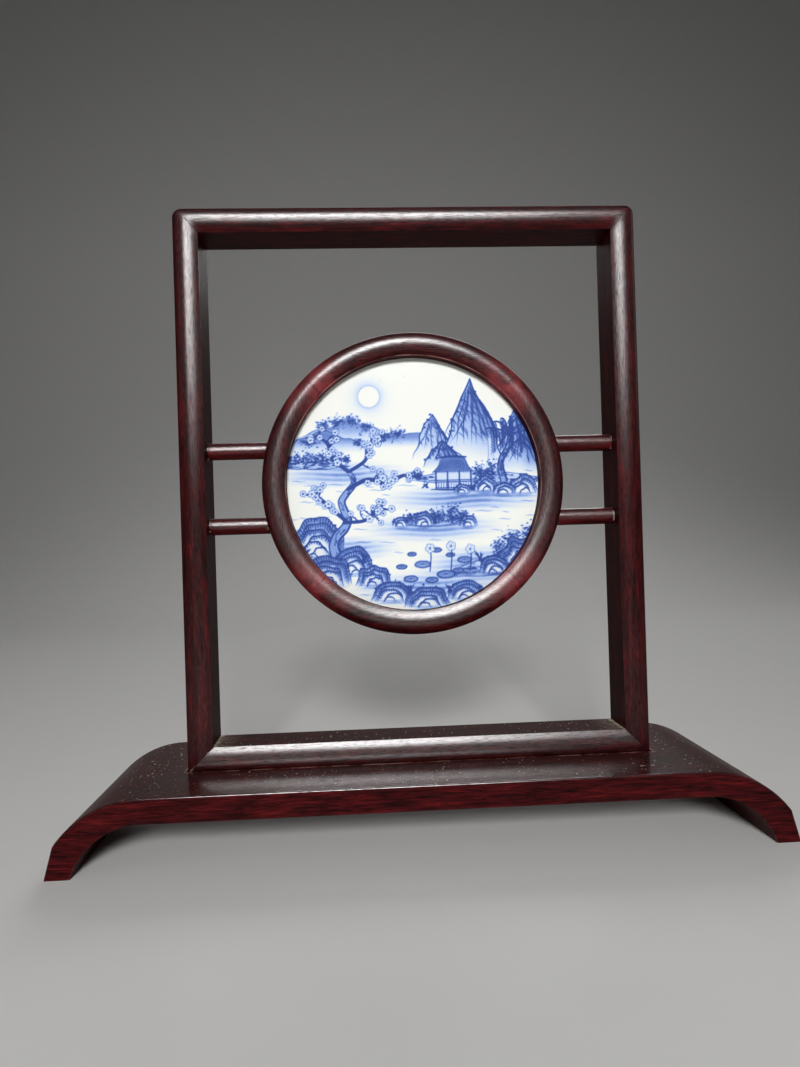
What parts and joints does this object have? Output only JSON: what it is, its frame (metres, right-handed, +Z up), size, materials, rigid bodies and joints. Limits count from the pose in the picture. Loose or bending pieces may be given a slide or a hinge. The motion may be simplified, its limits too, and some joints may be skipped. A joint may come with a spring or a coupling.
{
  "type": "table screen",
  "caption": "Table screen: a mitred dark wood frame carries a round porcelain plaque in a ring on side spindles, and stands in a low bridge-shaped stand that it lifts out of.",
  "frame": {"origin": "on the table, under the middle of the stand", "axes": "+X to the right of someone who faces the picture, +Y to the back, +Z up"},
  "size_m": [0.384, 0.11, 0.3495],
  "materials": {
    "frame_wood": "satin lacquer over a red-brown stain",
    "stand_wood": "satin lacquer over a red-brown stain",
    "inner_wood": "bare",
    "plywood": "thin stain",
    "porcelain": "clear glaze over blue painting",
    "felt": "matt",
    "screw_brass": "dull"
  },
  "bodies": {
    "stand": {"stand_board": "stand_wood", "left_foot": "stand_wood", "right_foot": "stand_wood", "foot_dowels": "inner_wood"},
    "screen": {"top_rail": "frame_wood", "bottom_rail": "frame_wood", "left_stile": "frame_wood", "right_stile": "frame_wood", "mitre_key_top_left": "inner_wood", "mitre_key_top_right": "inner_wood", "mitre_key_bottom_left": "inner_wood", "mitre_key_bottom_right": "inner_wood", "left_peg": "inner_wood", "right_peg": "inner_wood", "left_upper_spindle": "frame_wood", "left_lower_spindle": "frame_wood", "right_upper_spindle": "frame_wood", "right_lower_spindle": "frame_wood", "ring_top": "frame_wood", "ring_left": "frame_wood", "ring_bottom": "frame_wood", "ring_right": "frame_wood", "ring_key_top_left": "inner_wood", "ring_key_top_right": "inner_wood", "ring_key_bottom_left": "inner_wood", "ring_key_bottom_right": "inner_wood", "plaque": "porcelain", "backing_pad": "felt", "back_board": "plywood", "back_screws": "screw_brass"}
  },
  "joints": [
    {"name": "screen_lift", "type": "slide", "parent": "stand", "child": "screen", "axis": [0, 0, 1], "range_m": [0, 0.05]}
  ]
}
